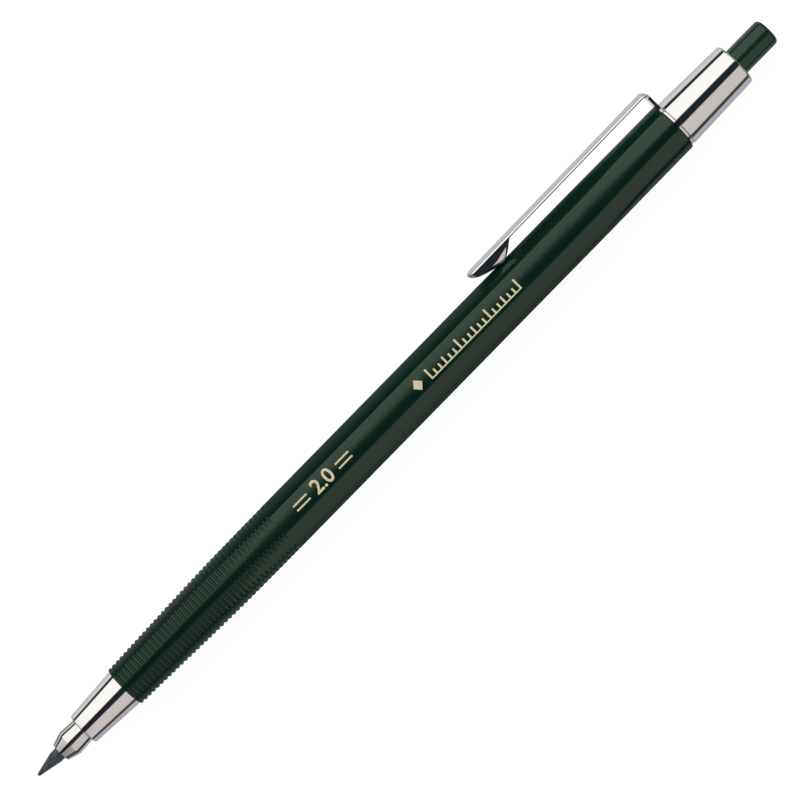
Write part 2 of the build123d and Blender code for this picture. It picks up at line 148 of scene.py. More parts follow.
def rounded(outline, steps=7):
    """Turn (x, radius, fillet) corners into (x, radius) points with the fillets drawn."""
    out = []
    for i, (x, r, fillet) in enumerate(outline):
        if fillet <= 0:
            out.append((x, r))
            continue
        corner = Vector((x, r))
        before = Vector(outline[i - 1][:2]) - corner
        after = Vector(outline[(i + 1) % len(outline)][:2]) - corner
        room = min(before.length * 0.49, after.length * 0.49)
        before.normalize()
        after.normalize()
        half_angle = before.angle(after) / 2
        setback = min(fillet / math.tan(half_angle), room)
        radius = setback * math.tan(half_angle)
        middle = (before + after).normalized()
        centre = corner + middle * (radius / math.sin(half_angle))
        start = corner + before * setback - centre
        end = corner + after * setback - centre
        sweep = start.angle_signed(end)
        for k in range(steps + 1):
            q = centre + Matrix.Rotation(-sweep * k / steps, 2) @ start
            out.append((q.x, q.y))
    return out


def revolve(name, outline, mat, closed=True):
    """Turn an outline of (x, radius, fillet) about the pencil's axis."""
    segments = 224
    rings = []
    for x, r in rounded(outline):
        if r < 1e-6:
            rings.append([point(x, 0, 0)])
        else:
            rings.append([point(x, r, 360 * k / segments) for k in range(segments)])
    return make(name, *skin(rings, closed), mat)


def lerp(table, q):
    """Value at q from a table of (q, value)."""
    for (q0, v0), (q1, v1) in zip(table, table[1:]):
        if q <= q1:
            t = min(max((q - q0) / (q1 - q0), 0), 1)
            return v0 + (v1 - v0) * t
    return table[-1][1]


def averaged(table, q, offsets):
    """Mean of the table's values at q plus each offset, which softens its corners."""
    return sum(lerp(table, q + d) for d in offsets) / len(offsets)


def smin(a, b, k):
    """Minimum of a and b, blended where they are within k of each other."""
    h = max(k - abs(a - b), 0) / k
    return min(a, b) - h * h * k / 4


def fit(ob, body, node=None):
    """Attach a piece to a moving body, in place of a CAD node if one is given."""
    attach(ob, body)
    if node:
        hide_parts(node)


# ------------------------------------------------------------------ shader helpers
class Graph:
    """Adds nodes to a shader tree."""

    def __init__(self, tree):
        self.tree = tree

    def node(self, kind, **props):
        node = self.tree.nodes.new(kind)
        for key, value in props.items():
            setattr(node, key, value)
        return node

    def feed(self, socket, value):
        """Set a socket to a colour or a number, or link an output to it."""
        if isinstance(value, tuple):
            socket.default_value = (*value, 1)
        elif isinstance(value, (int, float)):
            socket.default_value = value
        else:
            self.tree.links.new(value, socket)

    def ramp(self, fac, stops):
        """Colour ramp with stops of (position, colour)."""
        node = self.node("ShaderNodeValToRGB")
        elements = node.color_ramp.elements
        while len(elements) > 1:
            elements.remove(elements[0])
        elements[0].position = stops[0][0]
        elements[0].color = (*stops[0][1], 1)
        for position, colour in stops[1:]:
            elements.new(position).color = (*colour, 1)
        self.feed(node.inputs["Fac"], fac)
        return node.outputs["Color"]

    def math(self, operation, *values):
        node = self.node("ShaderNodeMath", operation=operation)
        for socket, value in zip(node.inputs, values):
            self.feed(socket, value)
        return node.outputs["Value"]

    def mix(self, fac, a, b, blend="MIX"):
        node = self.node("ShaderNodeMix", data_type="RGBA", blend_type=blend)
        # inputs 6 and 7 and output 2 are the node's colour sockets
        for key, value in (("Factor", fac), (6, a), (7, b)):
            self.feed(node.inputs[key], value)
        return node.outputs[2]


class Mat(Graph):
    """Principled material whose textures use object coordinates in millimetres."""

    INPUTS = {"color": "Base Color", "rough": "Roughness", "metal": "Metallic", "ior": "IOR",
              "normal": "Normal", "spec": "Specular IOR Level", "tint": "Specular Tint",
              "glow": "Emission Color", "glow_gain": "Emission Strength"}

    def __init__(self, name):
        self.material = bpy.data.materials.new(name)
        self.material.use_nodes = True
        super().__init__(self.material.node_tree)
        self.bsdf = self.tree.nodes["Principled BSDF"]
        coords = self.node("ShaderNodeTexCoord")
        self.mm = self.scaled(coords.outputs["Object"], (1000, 1000, 1000))

    def scaled(self, vector, scale):
        node = self.node("ShaderNodeMapping")
        node.inputs["Scale"].default_value = scale
        self.feed(node.inputs["Vector"], vector)
        return node.outputs["Vector"]

    def noise(self, scale, detail=3.0, rough=0.55, stretch=None, distort=0.0):
        """Noise; stretch is its frequency along x, y and z."""
        vector = self.scaled(self.mm, stretch) if stretch else self.mm
        node = self.node("ShaderNodeTexNoise")
        for key, value in (("Scale", scale), ("Detail", detail), ("Roughness", rough),
                           ("Distortion", distort), ("Vector", vector)):
            self.feed(node.inputs[key], value)
        return node.outputs["Fac"]

    def remap(self, value, span, to):
        """Map value from the range span to the range to."""
        node = self.node("ShaderNodeMapRange")
        for key, number in zip(("From Min", "From Max", "To Min", "To Max"), (*span, *to)):
            node.inputs[key].default_value = number
        self.feed(node.inputs["Value"], value)
        return node.outputs["Result"]

    def bump(self, height, depth, under=None):
        """Bump of depth millimetres, laid over the normal under."""
        node = self.node("ShaderNodeBump")
        node.inputs["Distance"].default_value = depth * MM
        node.inputs["Strength"].default_value = 1.0
        self.feed(node.inputs["Height"], height)
        if under is not None:
            self.feed(node.inputs["Normal"], under)
        return node.outputs["Normal"]

    def set(self, **values):
        for key, value in values.items():
            self.feed(self.bsdf.inputs[self.INPUTS[key]], value)


# ------------------------------------------------------------------ materials
def green_plastic(name, dark, light, gloss=0.075, grazing=1.0, rim=0.3):
    """Glossy moulded plastic: faint colour drift, fine lengthwise polish marks, worn edges.

    gloss is the roughness; grazing and rim scale the specular at mid and shallow angles.
    """
    m = Mat(name)
    drift = m.noise(scale=0.35, detail=3, rough=0.6)
    colour = m.ramp(drift, [(0.3, dark), (0.72, light)])
    geo = m.node("ShaderNodeNewGeometry")
    edge = m.remap(geo.outputs["Pointiness"], span=(0.515, 0.60), to=(0, 1))
    patches = m.noise(scale=1.3, detail=4, rough=0.7)
    rub = m.math("MULTIPLY", edge, m.remap(patches, span=(0.42, 0.7), to=(0.15, 1)))
    worn = tuple(c * 2.2 + 0.004 for c in light)
    colour = m.mix(m.math("MULTIPLY", rub, 0.45), colour, worn)
    marks = m.noise(scale=1.0, detail=5, rough=0.65, stretch=(0.12, 9, 9))
    rough = m.remap(m.noise(scale=0.8, detail=4, rough=0.6), span=(0.3, 0.75),
                    to=(gloss * 0.75, gloss * 1.5))
    rough = m.math("ADD", rough, m.remap(marks, span=(0.58, 0.75), to=(0, 0.10)))
    rough = m.math("ADD", rough, m.math("MULTIPLY", rub, 0.12))
    waves = m.bump(m.noise(scale=0.55, detail=2, rough=0.5), depth=0.006)
    normal = m.bump(marks, depth=0.0006, under=waves)
    layer = m.node("ShaderNodeLayerWeight")
    layer.inputs["Blend"].default_value = 0.5
    facing = layer.outputs["Facing"]
    sheen = m.remap(facing, span=(0.22, 0.38), to=(0.5, 0.5 * grazing))
    sheen = m.math("MULTIPLY", sheen, m.remap(facing, span=(0.54, 0.84), to=(1.0, rim)))
    rough = m.math("ADD", rough, m.remap(facing, span=(0.62, 0.92), to=(0, 0.4 * (1 - grazing))))
    m.set(color=colour, rough=rough, ior=1.56, normal=normal, spec=sheen, tint=(0.80, 1.0, 0.79))
    return m.material


def chrome(name, tint=(0.93, 0.915, 0.895), rough=0.035, rings=0.00025, ripple=0.002):
    """Bright plating over turned metal: tool rings, polish haze and smudges.

    rings and ripple are bump depths.
    """
    m = Mat(name)
    haze = m.noise(scale=0.5, detail=4, rough=0.6)
    colour = m.ramp(haze, [(0.25, tuple(c * 0.965 for c in tint)), (0.7, tint)])
    fine = m.noise(scale=1.0, detail=4, rough=0.7, stretch=(14, 0.5, 0.5))
    smudge = m.remap(m.noise(scale=0.9, detail=5, rough=0.7, distort=0.6),
                     span=(0.55, 0.72), to=(0, 0.05))
    dull = m.math("ADD", m.remap(fine, span=(0.3, 0.7), to=(rough * 0.7, rough * 1.6)), smudge)
    turned = m.bump(fine, depth=rings)
    normal = m.bump(m.noise(scale=0.45, detail=2, rough=0.5), depth=ripple, under=turned)
    m.set(color=colour, rough=dull, metal=1.0, normal=normal)
    return m.material


def raw_metal(name, dark, light, rough=0.24, stretch=(10, 0.6, 0.6)):
    """Turned or drawn bare metal: tool lines and patchy tarnish."""
    m = Mat(name)
    tarnish = m.noise(scale=0.8, detail=5, rough=0.65)
    colour = m.ramp(tarnish, [(0.3, dark), (0.7, light)])
    lines = m.noise(scale=1.0, detail=4, rough=0.7, stretch=stretch)
    m.set(color=colour, rough=m.remap(lines, span=(0.3, 0.7), to=(rough * 0.7, rough * 1.5)),
          metal=1.0, normal=m.bump(lines, depth=0.003))
    return m.material


def graphite():
    """Scraped pencil lead: grey sheen, lengthwise scrapes and dull pits."""
    m = Mat("graphite")
    scrape = m.noise(scale=1.0, detail=5, rough=0.7, stretch=(0.8, 5.5, 5.5), distort=0.5)
    patch = m.noise(scale=1.7, detail=4, rough=0.65, distort=0.8)
    both = m.math("ADD", m.math("MULTIPLY", scrape, 0.55), m.math("MULTIPLY", patch, 0.45))
    colour = m.ramp(both, [(0.30, (0.018, 0.024, 0.040)), (0.48, (0.068, 0.084, 0.125)),
                           (0.62, (0.130, 0.150, 0.220)), (0.78, (0.21, 0.23, 0.32))])
    m.set(color=colour, metal=0.35, rough=m.remap(patch, span=(0.3, 0.7), to=(0.32, 0.6)),
          ior=1.7, normal=m.bump(both, depth=0.05))
    return m.material


def foil():
    """Hot-stamped gold foil: crinkled, with small gaps rubbed dark, and a faint glow in its own
    colour that is a painted glint.
    """
    m = Mat("gold_foil")
    crinkle = m.noise(scale=5.0, detail=4, rough=0.7)
    worn = m.remap(m.noise(scale=9.0, detail=3, rough=0.6), span=(0.60, 0.70), to=(0, 1))
    gold = m.ramp(crinkle, [(0.3, (0.74, 0.58, 0.24)), (0.5, (1.0, 0.90, 0.55)),
                            (0.7, (1.0, 0.97, 0.78))])
    colour = m.mix(m.math("MULTIPLY", worn, 0.6), gold, (0.20, 0.15, 0.05))
    # painted glint: the foil glows faintly in its own colour, standing in for the light it would
    # catch
    m.set(color=colour, metal=0.0, spec=1.0, glow=colour, glow_gain=0.16,
          rough=m.remap(crinkle, span=(0.3, 0.7), to=(0.38, 0.6)),
          normal=m.bump(crinkle, depth=0.03))
    return m.material


M_BARREL = green_plastic("barrel_plastic", dark=(0.0042, 0.0285, 0.0195),
                         light=(0.0058, 0.0340, 0.0240), grazing=0.40, rim=0.0)
M_BUTTON = green_plastic("button_plastic", dark=(0.0085, 0.0440, 0.0310),
                         light=(0.0110, 0.0520, 0.0370), gloss=0.11)
M_CHROME = chrome("chrome_plate")
M_CLIP = chrome("clip_chrome", rings=0.00005, ripple=0.0004)
M_JAW = chrome("jaw_chrome", tint=(0.90, 0.885, 0.87), rough=0.06, rings=0.0006)
# painted shade: near-black metal on the jaws' slit faces darkens the narrow slits
M_SLIT_SHADE = raw_metal("jaw_slit_painted_shade", dark=(0.035, 0.035, 0.038), light=(0.07, 0.07, 0.075),
                   rough=0.4, stretch=(4, 4, 4))
M_LEAD = graphite()
M_BRASS = raw_metal("brass", dark=(0.62, 0.43, 0.17), light=(0.80, 0.60, 0.27))
M_STEEL = raw_metal("spring_wire", dark=(0.42, 0.42, 0.43), light=(0.60, 0.60, 0.60),
                    rough=0.28, stretch=(0.5, 6, 6))
M_FOIL = foil()

# ------------------------------------------------------------------ barrel
FLAT_R = 4.0                      # axis to the middle of a flat
CORNER = 0.9                      # rounding radius of the octagon's corners
CROWN = 0.034                     # how far a flat falls away at its edges
HALF_TURN = math.radians(22.5)    # half of one side of the octagon
CORNER_D = (FLAT_R - CORNER) / math.cos(HALF_TURN)     # axis to a corner's rounding centre
FLAT = (FLAT_R - CORNER) * math.tan(HALF_TURN)         # half width of a flat
FLAT_DEG = math.degrees(math.atan2(FLAT, FLAT_R))
# grip envelope: (distance from the lead point, radius)
GRIP = [(17.85, 3.425), (20.9, 3.53), (25.9, 3.695), (30.8, 3.86), (35.7, 4.005),
        (40.6, 4.13), (45.6, 4.215), (50.5, 4.26)]
RIBS, PITCH, GROOVE = 40, 0.8, 0.42
DEPTH, RIB_CROWN = 0.2, 0.06      # groove depth, and fall of a rib at its edges
PLAIN_R = 4.4                     # outside the octagon's corners, so it cuts nothing
# rear taper: (distance from the button end, radius)
REAR_TAPER = [(40.0, 4.36), (37.5, 4.30), (34.5, 4.21), (32.0, 4.15),
              (29.5, 4.11), (27.0, 4.085), (23.0, 4.068), (19.4, 4.05)]
BLEND, REAR_BLEND = 0.03, 0.10    # softening where the turned envelope cuts the octagon
FRONT_EDGE, REAR_EDGE = 0.10, 0.20    # edge rounding
# bore, rear to front: (x, radius)
BORE = [(BARREL_REAR, 3.06), (BARREL_REAR + 7.7, 3.06), (BARREL_REAR + 7.7, 2.32), (48.4, 2.32),
        (48.4, 2.57), (49.1, 2.57), (49.1, 2.87), (BARREL_FRONT, 2.87)]


def facet_angles():
    """Angles round the barrel: dense over the rounded corners, regular over the flats."""
    out = []
    for side in range(8):
        centre = side * 45.0
        out += [centre - FLAT_DEG + 2 * FLAT_DEG * k / 14 for k in range(15)]
        out += [centre + FLAT_DEG + (45 - 2 * FLAT_DEG) * k / 10 for k in range(1, 10)]
    return out


def octagon_r(deg):
    d = (deg + 22.5) % 45 - 22.5
    if abs(d) <= FLAT_DEG + 1e-9:
        across = FLAT_R * math.tan(math.radians(d))
        return (FLAT_R - CROWN * (across / FLAT) ** 2) / math.cos(math.radians(d))
    phi = math.radians(22.5 - abs(d))
    r = CORNER_D * math.cos(phi) + math.sqrt(CORNER ** 2 - (CORNER_D * math.sin(phi)) ** 2)
    return r - CROWN


def turned():
    """Turned envelope, front to rear: (distance from the lead point, radius, softening)."""
    out = []
    land = PITCH - GROOVE
    for i in range(RIBS):
        base = GRIP[0][0] + PITCH * i
        for k in range(9):
            p = land * k / 9
            fall = RIB_CROWN * (2 * p / land - 1) ** 2
            out.append((base + p, lerp(GRIP, base + p) - fall, BLEND))
        for k in range(10):
            q = GROOVE * k / 10
            cut = (DEPTH - RIB_CROWN) * (1 - (2 * q / GROOVE - 1) ** 2)
            out.append((base + land + q, lerp(GRIP, base + land + q) - RIB_CROWN - cut, BLEND))
    s = GRIP[0][0] + PITCH * RIBS
    out.append((s, lerp(GRIP, s) - RIB_CROWN, BLEND))
    out.append((s + 0.06, GRIP[-1][1], BLEND))
    s += 0.5
    while s < LENGTH - REAR_TAPER[0][0]:
        out.append((s, PLAIN_R, BLEND))
        s += 1.0
    rear = [(LENGTH - d, r) for d, r in REAR_TAPER]
    for k in range(61):
        s = rear[0][0] + (rear[-1][0] - rear[0][0]) * k / 60
        out.append((s, averaged(rear, s, (-1.2, -0.6, 0, 0.6, 1.2)), REAR_BLEND))
    return out


def barrel_rings():
    angles = facet_angles()
    octagon = [octagon_r(a) for a in angles]
    stations = turned()
    rings = []

    def ring(x, radii):
        rings.append([point(x, r, a) for r, a in zip(radii, angles)])

    def cut(radius, softening):
        return [smin(r, radius, softening) for r in octagon]

    quarter = [math.radians(90 * k / 6) for k in range(7)]
    edge = FRONT_EDGE
    front = cut(*stations[0][1:])
    for t in quarter:
        ring(BARREL_FRONT - edge * (1 - math.cos(t)), [r - edge + edge * math.sin(t) for r in front])
    for s, radius, softening in stations[1:]:
        x = X_TIP - s
        if BARREL_REAR + 0.22 <= x <= BARREL_FRONT - edge:
            ring(x, cut(radius, softening))
    edge = REAR_EDGE
    rear = cut(*stations[-1][1:])
    for t in quarter:
        ring(BARREL_REAR + edge * (1 - math.sin(t)), [r - edge + edge * math.cos(t) for r in rear])
    for x, r in BORE:
        ring(x, [r] * len(angles))
    return rings


barrel = make("barrel_shell", *skin(barrel_rings(), closed=True), M_BARREL, sharp=38)
fit(barrel, "holder", "barrel")

# ------------------------------------------------------------------ nose cone
GAP = 0.01                        # clearance between parts that meet
SHOULDER = BARREL_FRONT + GAP
nose = revolve("nose_cone_plated", [    # (x, radius, fillet)
    (NOSE_FRONT, 2.01, 0.05), (NOSE_FRONT, 2.61, 0.26), (SHOULDER, 3.155, 0.05),
    (SHOULDER, 2.30, 0), (SHOULDER - 0.6, 2.30, 0), (SHOULDER - 0.8, 2.55, 0),
    (NOSE_REAR + 0.3, 2.55, 0), (NOSE_REAR, 2.25, 0), (NOSE_REAR, 2.15, 0), (63.9, 2.15, 0),
    (64.4, 1.917, 0)], M_CHROME)
fit(nose, "holder", "nose_cone")

# ------------------------------------------------------------------ jaws
HALF_SLIT = 0.11
JAW_STEPS = 44
JAW = rounded([    # (x, radius, fillet)
    (JAW_FRONT, 1.14, 0.04), (JAW_FRONT, 1.56, 0.07), (X_TIP - 6.55, 2.145, 0.12),
    (X_TIP - 7.05, 2.133, 0.05), (NOSE_FRONT, 1.98, 0), (64.6, 1.901, 0), (64.2, 1.65, 0),
    (JAW_REAR, 1.65, 0), (JAW_REAR, 1.2, 0), (64.9, 1.2, 0), (65.1, 1.02, 0),
    (JAW_FRONT - 0.12, 1.02, 0)], steps=5)


def jaw(side, body, centre):
    """One third of the collet, centred at an angle of centre degrees."""
    rows = []
    for x, r in JAW:
        a = 60 - math.degrees(math.asin(HALF_SLIT / r))
        rows.append([point(x, r, centre - a + 2 * a * k / JAW_STEPS)
                     for k in range(JAW_STEPS + 1)])
    verts, faces = skin(rows, closed=True, around=False)
    starts = [i * (JAW_STEPS + 1) for i in range(len(JAW))]
    faces.append(starts)
    faces.append([i + JAW_STEPS for i in starts][::-1])
    ob = make("jaw_finger_" + side, verts, faces, M_JAW)
    # the slit faces (the caps) get the near-black painted-shade metal
    ob.data.materials.append(M_SLIT_SHADE)
    for face in ob.data.polygons:
        if len(face.vertices) > 4:
            face.material_index = 1
    bevel = ob.modifiers.new("edge", "BEVEL")
    bevel.width = 0.035 * MM
    bevel.segments = 2
    bevel.limit_method = "ANGLE"
    bevel.angle_limit = math.radians(70)
    fit(ob, body, "jaw_" + side)


jaw("top", "jaw_a", centre=0)
jaw("clip_side", "jaw_b", centre=120)
jaw("far_side", "jaw_c", centre=240)

# ------------------------------------------------------------------ lead: hand-sharpened point
LEAD_R = 1.0
LEAD_END_R = 0.92                 # chamfered rear end
LEAD_LENGTH = X_TIP - LEAD_REAR
BALL_R, BALL_END = 0.26, 0.2      # rounded point: its radius, and where the cone takes over
CONE_R, CONE_LENGTH = 0.2535, 3.42    # the cone's smallest radius, and its mean length
LEAD_SEGMENTS = 120
# ring places, as distances from the point
LEAD_STOPS = [0.0, 0.02, 0.05, 0.09, 0.14, 0.2, 0.27] + [0.35 + 0.06 * k for k in range(64)]
LEAD_STOPS += [4.6, 5.5, 8, 20, 60, 100, LEAD_LENGTH - 0.1, LEAD_LENGTH]


def lead_r(s, a):
    """Radius at distance s from the point and angle a in radians, with uneven scraping."""
    if s < BALL_END:
        r = math.sqrt(max(BALL_R ** 2 - (BALL_R - s) ** 2, 0)) * 0.99
    else:
        scraped = (0.22 * math.sin(3 * a + 0.6) + 0.12 * math.sin(5 * a + 2.1)
                   + 0.07 * math.sin(9 * a + 0.3))
        r = CONE_R + (s - BALL_END) * (LEAD_R - CONE_R) / (CONE_LENGTH + scraped)
        r -= 0.010 * max(0, math.sin(7 * a + s * 0.8)) * min(s, 2)
    return smin(min(r, 1.2), LEAD_R, 0.03)


rings = [[point(X_TIP, 0, 0)]]
turns = [360 * k / LEAD_SEGMENTS for k in range(LEAD_SEGMENTS)]
for s in LEAD_STOPS[1:-1]:
    rings.append([point(X_TIP - s, lead_r(s, math.radians(a)), a) for a in turns])
rings.append([point(X_TIP - LEAD_LENGTH, LEAD_END_R, a) for a in turns])
verts, faces = skin(rings)
faces.append(list(range(len(verts) - LEAD_SEGMENTS, len(verts))))
lead = make("lead_stick", verts, faces, M_LEAD, sharp=40)
fit(lead, "lead_stick", "lead")

# ------------------------------------------------------------------ rear sleeve and push button
SLEEVE_FACE = RING_REAR - GAP
sleeve = revolve("rear_sleeve_plated", [    # (x, radius, fillet)
    (SLEEVE_REAR, 2.225, 0.18), (SLEEVE_REAR, 3.515, 0.42), (SLEEVE_FACE, 3.83, 0.12),
    (SLEEVE_FACE, 2.6, 0), (SLEEVE_FRONT - 0.3, 2.6, 0), (SLEEVE_FRONT, 2.3, 0),
    (SLEEVE_FRONT, 1.58, 0), (-56.95, 1.58, 0), (-56.95, 2.225, 0)], M_CHROME)
fit(sleeve, "holder", "rear_sleeve")

button = revolve("push_button_moulded", [    # (x, radius, fillet)
    (X_END, 0.0, 0), (X_END, 0.5, 0), (X_END, 2.18, 0.62), (-61.0, 2.18, 0.05), (-61.0, 1.76, 0),
    (X_END + 4.6, 1.76, 0), (X_END + 4.6, 1.2, 0), (X_END + 1.6, 1.2, 0),
    (X_END + 1.3, 0.0, 0)], M_BUTTON, closed=False)
fit(button, "push", "push_button")

# ------------------------------------------------------------------ pocket clip
CLIP_DEG = 67.5                   # over a corner of the octagon
BEND_R, TIP_R = 7.0, 6.66         # outer face of the arm, from the axis, at its bend and tip
CLIP_WIDTH, THICK, BEND = 2.35, 0.47, 0.95
EXTRA = 0.05                      # extra thickness of the upright leg
HALF_WIDTH = CLIP_WIDTH / 2       # also the radius of the rounded tip
TIP_ZONE = 2.2                    # length of arm with closer stations at the tip
ARM_X = RING_REAR + BEND
REACH = CLIP_TIP - ARM_X
LEG_RADII = (3.05, 3.3, 3.6, 3.8, 4.0, 4.2, 4.4, 4.6, 4.8, 5.1, 5.3, 5.5, 5.7, 5.9,
             BEND_R - BEND - 0.03)
clip_out = point(0, 1, CLIP_DEG) - point(0, 0, 0)
clip_out.normalize()
clip_across = Vector((1, 0, 0)).cross(clip_out)


def clip_point(x, r, w):
    """Point at x, r out from the axis towards the clip and w across it."""
    return Vector((x * MM, 0, AXIS_Z * MM)) + clip_out * (r * MM) + clip_across * (w * MM)


band = revolve("clip_ring_band", [    # (x, radius, fillet)
    (RING_REAR, 2.66, 0.03), (RING_REAR, 3.72, 0.11), (RING_FRONT, 3.72, 0.11),
    (RING_FRONT, 2.66, 0.03)], M_CLIP)
fit(band, "holder", "clip_ring")


def arm_r(x):
    return BEND_R + (TIP_R - BEND_R) * (x - ARM_X) / REACH


def tip_half(q):
    """Half width of the arm at distance q from its tip."""
    if q > HALF_WIDTH:
        return HALF_WIDTH
    return math.sqrt(max(HALF_WIDTH ** 2 - (HALF_WIDTH - q) ** 2, 0))


def strip_section(width, thick, crown):
    """Strip outline as (across, depth below its outer face); crown 1 rounds the shoulders."""
    half = width / 2
    shoulder = min(0.06 + 0.48 * crown, half * 0.62)
    small = min(1.0, half / 0.3)
    flat = half - shoulder - 0.02 * small
    depth = 0.10 + (thick - 0.22) * crown
    lean = math.radians(77)
    right = []
    for k in range(7):
        w = flat * k / 6
        right.append((w, 0.03 * (w / max(flat, 1e-6)) ** 2))
    for k in range(1, 14):
        t = lean * k / 13
        right.append((flat + shoulder * math.sin(t) / math.sin(lean),
                      0.03 + (depth - 0.03) * (1 - math.cos(t)) / (1 - math.cos(lean))))
    right += [(half, thick - 0.01), (half - 0.03 * small, thick), (half * 0.5, thick)]
    return right + [(-w, d) for w, d in reversed(right[1:])]


def clip_path():
    """Stations: (x, r, outward (x, r), width, thickness, drop of the outer face, crown)."""
    path = []
    for r in LEG_RADII:
        width = CLIP_WIDTH + 0.36 * max(0.0, 6.05 - max(r, 3.7))
        path.append((RING_REAR, r, (-1.0, 0.0), width, THICK + EXTRA, 0, 0.0))
    for k in range(15):
        t = math.radians(90 * k / 14)
        path.append((RING_REAR + BEND * (1 - math.cos(t)), BEND_R - BEND + BEND * math.sin(t),
                     (-math.cos(t), math.sin(t)), CLIP_WIDTH, THICK + EXTRA * (1 - k / 14), 0,
                     min(1.0, k / 10)))
    for k in range(1, 41):
        x = ARM_X + (REACH - TIP_ZONE) * k / 40
        path.append((x, arm_r(x), (0.0, 1.0), CLIP_WIDTH, THICK, 0, 1.0))
    for k in range(1, 25):
        q = TIP_ZONE * (1 - math.sin(math.radians(90 * k / 24)))
        x = CLIP_TIP - q
        drop = 0 if q > 0.5 else 0.36 * (1 - math.sqrt(max(1 - ((0.5 - q) / 0.5) ** 2, 0)))
        path.append((x, arm_r(x), (0.0, 1.0), max(2 * tip_half(q), 0.02), THICK, drop, 1.0))
    return path


rings = []
for x, r, (out_x, out_r), width, thick, drop, crown in clip_path():
    rings.append([clip_point(x - out_x * (d + drop), r - out_r * (d + drop), w)
                  for w, d in strip_section(width, thick - drop, crown)])
clip = make("pocket_clip", *skin(rings, caps=True), M_CLIP, sharp=50)
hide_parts("clip_arm")
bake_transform(clip)

# keel under the clip tip: (distance from the tip, depth below the arm)
WALL = [(0.12, 0.10), (0.5, 0.36), (1.0, 0.59), (1.57, 0.81), (2.2, 0.96), (2.97, 1.07),
        (3.7, 1.13), (4.42, 1.12), (5.0, 1.02), (5.47, 0.89), (6.1, 0.79), (6.8, 0.66),
        (7.4, 0.45), (8.0, 0.15), (8.35, 0.02)]
KEEL = [(0.12, 0.18), (0.5, 0.52), (1.0, 0.86), (1.97, 1.27), (3.24, 1.66), (4.15, 1.93),
        (4.75, 2.06), (5.27, 2.07), (5.8, 1.90), (6.17, 1.66), (6.65, 1.34), (7.1, 0.98),
        (7.55, 0.60), (8.0, 0.26), (8.35, 0.05)]
KEEL_STEPS = 60
CREASE = 3                        # index in the section of the edge between wall and sole


def keel_section(q):
    """Section at distance q from the tip: (across, depth below the arm's underside)."""
    wall = averaged(WALL, q, (-0.15, 0, 0.15))
    sole = max(averaged(KEEL, q, (-0.15, 0, 0.15)), wall + 0.02) - wall
    half = max(tip_half(q) - 0.22 * min(q / 0.6, 1), 0.03)
    # the walls flare outwards, then turn over a crisp edge into the sloping sole
    wide = half + 0.16 * wall * min(half, 1)
    right = [(half - 0.02, -0.10), (half, 0.0), ((half + wide) / 2, wall * 0.5), (wide, wall)]
    for k in range(1, 7):
        u = k / 6
        right.append((wide * (1 - 0.17 * u ** 1.1), wall + sole * 0.90 * u))
    for k in range(1, 7):
        t = math.radians(90 * k / 6)
        right.append((wide * 0.83 * (1 - math.sin(t)) ** 0.8 if k < 6 else 0.0,
                      wall + sole * (0.90 + 0.10 * math.sin(t) ** 0.6)))
    return right + [(-w, d) for w, d in reversed(right[:-1])]


rings = []
for i in range(KEEL_STEPS + 1):
    q = WALL[0][0] + (WALL[-1][0] - WALL[0][0]) * i / KEEL_STEPS
    x = CLIP_TIP - q
    rings.append([clip_point(x, arm_r(x) - THICK - d, w) for w, d in keel_section(q)])
keel = make("clip_keel", *skin(rings, caps=True), M_CLIP, sharp=50)
count = len(rings[0])
for edge in keel.data.edges:
    if all(v % count in (CREASE, count - 1 - CREASE) for v in edge.vertices):
        edge.use_edge_sharp = True
fit(keel, "clip")

# ------------------------------------------------------------------ gold marks on the top flat
TOP_Z = (AXIS_Z + FLAT_R) * MM
FOIL_TOP, FOIL_LOW = 0.006, -0.045    # foil faces, from the flat
RULE_START = -(X_END + 51.1) - 18.4
SIZE_MARK = -(X_TIP - 59.0)       # middle of the lead size
marks_v, marks_f = [], []


def mark_poly(pts):
    """Foil shape with corners (u, v): u runs along -X and v along -Y."""
    base, k = len(marks_v), len(pts)
    for height in (FOIL_TOP, FOIL_LOW):
        marks_v.extend(Vector((-u * MM, -v * MM, TOP_Z + height * MM)) for u, v in pts)
    marks_f.append([base + i for i in range(k)])
    marks_f.append([base + k + i for i in range(k)][::-1])
    for i in range(k):
        j = (i + 1) % k
        marks_f.append([base + i, base + k + i, base + k + j, base + j])


def bar(u0, u1, v0, v1, cut=0.04):
    """Rectangle with its corners cut off."""
    mark_poly([(u0 + cut, v0), (u1 - cut, v0), (u1, v0 + cut), (u1, v1 - cut), (u1 - cut, v1),
               (u0 + cut, v1), (u0, v1 - cut), (u0, v0 + cut)])


# graduated rule: long and short ticks, a base line and a lozenge
for k in range(19):
    u = RULE_START + k * 1.0
    tall = 1.65 if k % 6 == 0 else (1.2 if k % 3 == 0 else 0.85)
    bar(u - 0.15, u + 0.15, -0.85, -0.85 + tall)
bar(RULE_START - 0.15, RULE_START + 18.15, -1.02, -0.83, cut=0.02)
u, v, half_u, half_v = RULE_START - 2.2, -0.1, 0.85, 0.95
mark_poly([(u - half_u, v), (u, v - half_v), (u + half_u, v), (u, v + half_v)])
# a pair of bars each side of the lead size
for sign in (-1, 1):
    for v in (-0.42, 0.42):
        lo, hi = sorted((SIZE_MARK + sign * 2.9, SIZE_MARK + sign * 5.6))
        bar(lo, hi, v - 0.13, v + 0.13)
marks = make("gold_rules", marks_v, marks_f, M_FOIL)
fit(marks, "holder")

text = bpy.data.curves.new("lead_size_digits", "FONT")
text.body = "2.0"
text.size = 3.1 * MM
text.align_x = "CENTER"
text.align_y = "CENTER"
text.extrude = 0.025 * MM
text.offset = 0.045 * MM
text.resolution_u = 6
digits = add_object("lead_size_digits", text)
